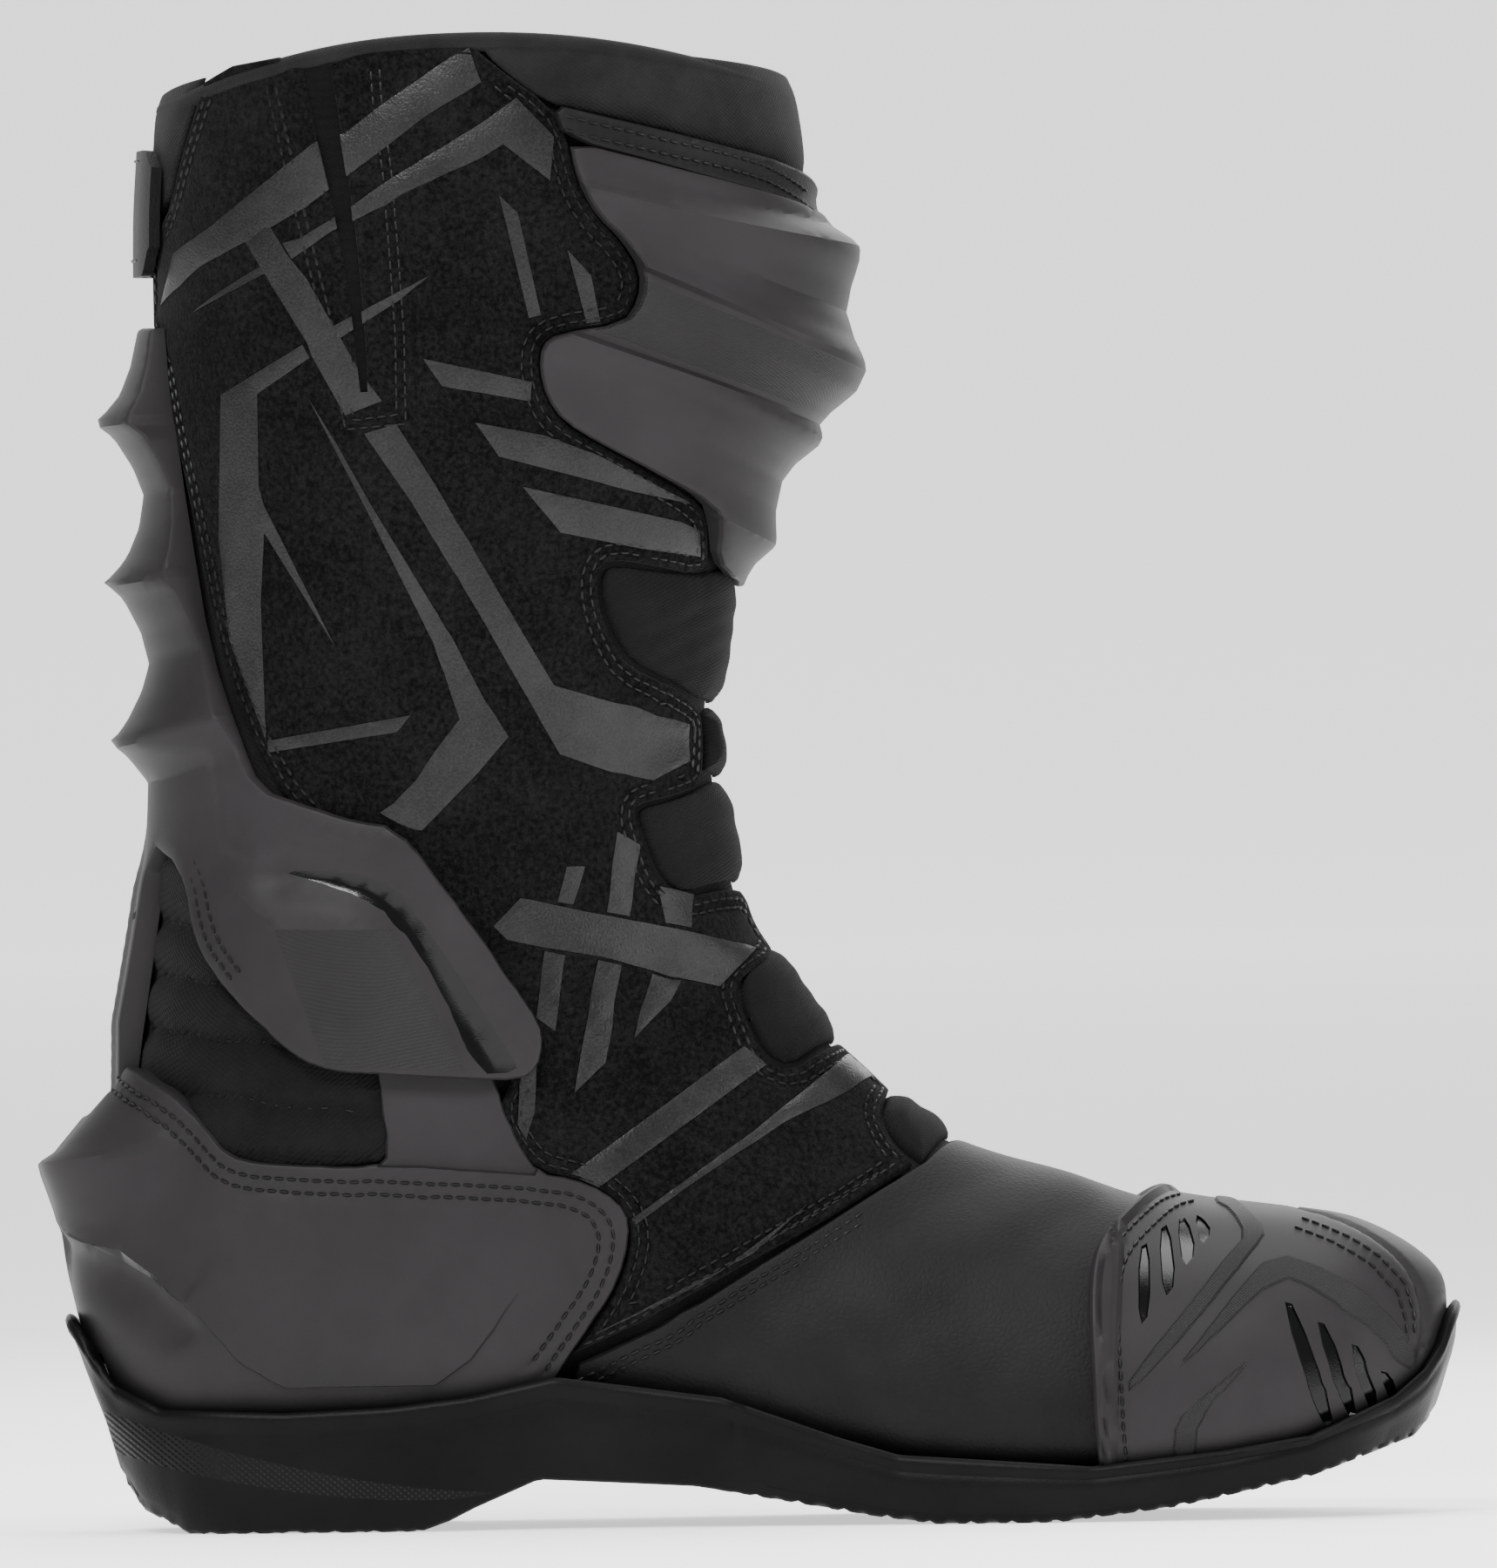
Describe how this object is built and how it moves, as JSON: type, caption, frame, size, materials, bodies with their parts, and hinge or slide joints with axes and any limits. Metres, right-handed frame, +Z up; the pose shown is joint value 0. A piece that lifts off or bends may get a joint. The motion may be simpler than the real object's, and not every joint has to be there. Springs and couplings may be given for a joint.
{
  "type": "motorcycle riding boot",
  "caption": "Tall left riding boot: moulded heel cup, calf and shin guards hinged at the ankle, suede inner panel, ribbed rubber sole, zip and flap closure.",
  "frame": {"origin": "centre of the footprint's bounding box, on the ground", "axes": "+X towards the toe, +Y to the outside of the foot, +Z up the shaft"},
  "size_m": [0.3096, 0.1166, 0.3244],
  "materials": {
    "rubber": "matt black moulded rubber",
    "guard": "moulded dark grey thermoplastic, fine texture",
    "suede": "black suede, napped",
    "microfibre": "dark grey coated microfibre",
    "stretch": "ribbed stretch fabric",
    "lining": "knitted textile",
    "gloss": "polished dark trim",
    "board": "fibreboard",
    "steel": "plain steel",
    "zip": "black coil and tape",
    "velcro": "hook and loop"
  },
  "bodies": {
    "foot": {"outsole": "rubber", "shank": "steel", "insole_board": "board", "insole": "lining", "foot_lining_medial": "lining", "foot_lining_lateral": "lining", "toe_puff_medial": "board", "toe_puff_lateral": "board", "heel_stiffener": "board", "heel_cup": "guard", "vamp": "microfibre", "toe_cap": "guard", "toe_slider": "gloss", "toe_slider_screw_1": "steel", "toe_slider_screw_2": "steel", "pivot_pin_medial": "steel", "pivot_pin_lateral": "steel", "instep_lobe_5": "stretch"},
    "leg": {"calf_guard": "guard", "ankle_trim_medial": "gloss", "ankle_trim_lateral": "gloss", "shin_guard": "guard", "shin_binding_upper": "microfibre", "suede_panel": "suede", "stretch_gusset": "stretch", "lateral_panel_front": "microfibre", "lateral_panel_rear": "microfibre", "collar_front": "lining", "collar_rear": "lining", "shaft_lining_medial": "lining", "shaft_lining_lateral": "lining", "ankle_sleeve": "lining", "achilles_bellows": "stretch", "instep_lobe_1": "stretch", "instep_lobe_2": "stretch", "instep_lobe_3": "stretch", "instep_lobe_4": "stretch", "zip_tape_front": "zip", "zip_tape_rear": "zip", "zip_teeth_front": "zip", "zip_teeth_rear": "zip", "zip_bottom_stop": "steel", "flap_base_strip": "microfibre", "loop_patch": "velcro"},
    "closure_flap": {"closure_flap": "microfibre", "hook_patch": "velcro"},
    "zip_slider": {"zip_slider": "steel"},
    "zip_puller": {"zip_puller": "zip"}
  },
  "joints": [
    {"name": "ankle_flex", "type": "hinge", "parent": "foot", "child": "leg", "pos_m": [-0.07156, -0.00224, 0.107], "axis": [0, 1, 0], "range_deg": [-5, 15], "deforming": ["suede_panel", "lateral_panel_front", "ankle_sleeve", "achilles_bellows", "instep_lobe_3", "instep_lobe_4", "instep_lobe_5"]},
    {"name": "flap_hinge", "type": "hinge", "parent": "leg", "child": "closure_flap", "pos_m": [-0.04938, 0.05694, 0.28871], "axis": [-0.0138, 0.0114, 0.9998], "range_deg": [-100, 0]},
    {"name": "zip_slide", "type": "slide", "parent": "leg", "child": "zip_slider", "axis": [0.1769, -0.0933, -0.9798], "range_m": [0, 0.09]},
    {"name": "puller_hinge", "type": "hinge", "parent": "zip_slider", "child": "zip_puller", "pos_m": [-0.07804, 0.0547, 0.24961], "axis": [0.9837, 0.049, 0.1729], "range_deg": [0, 140]}
  ]
}
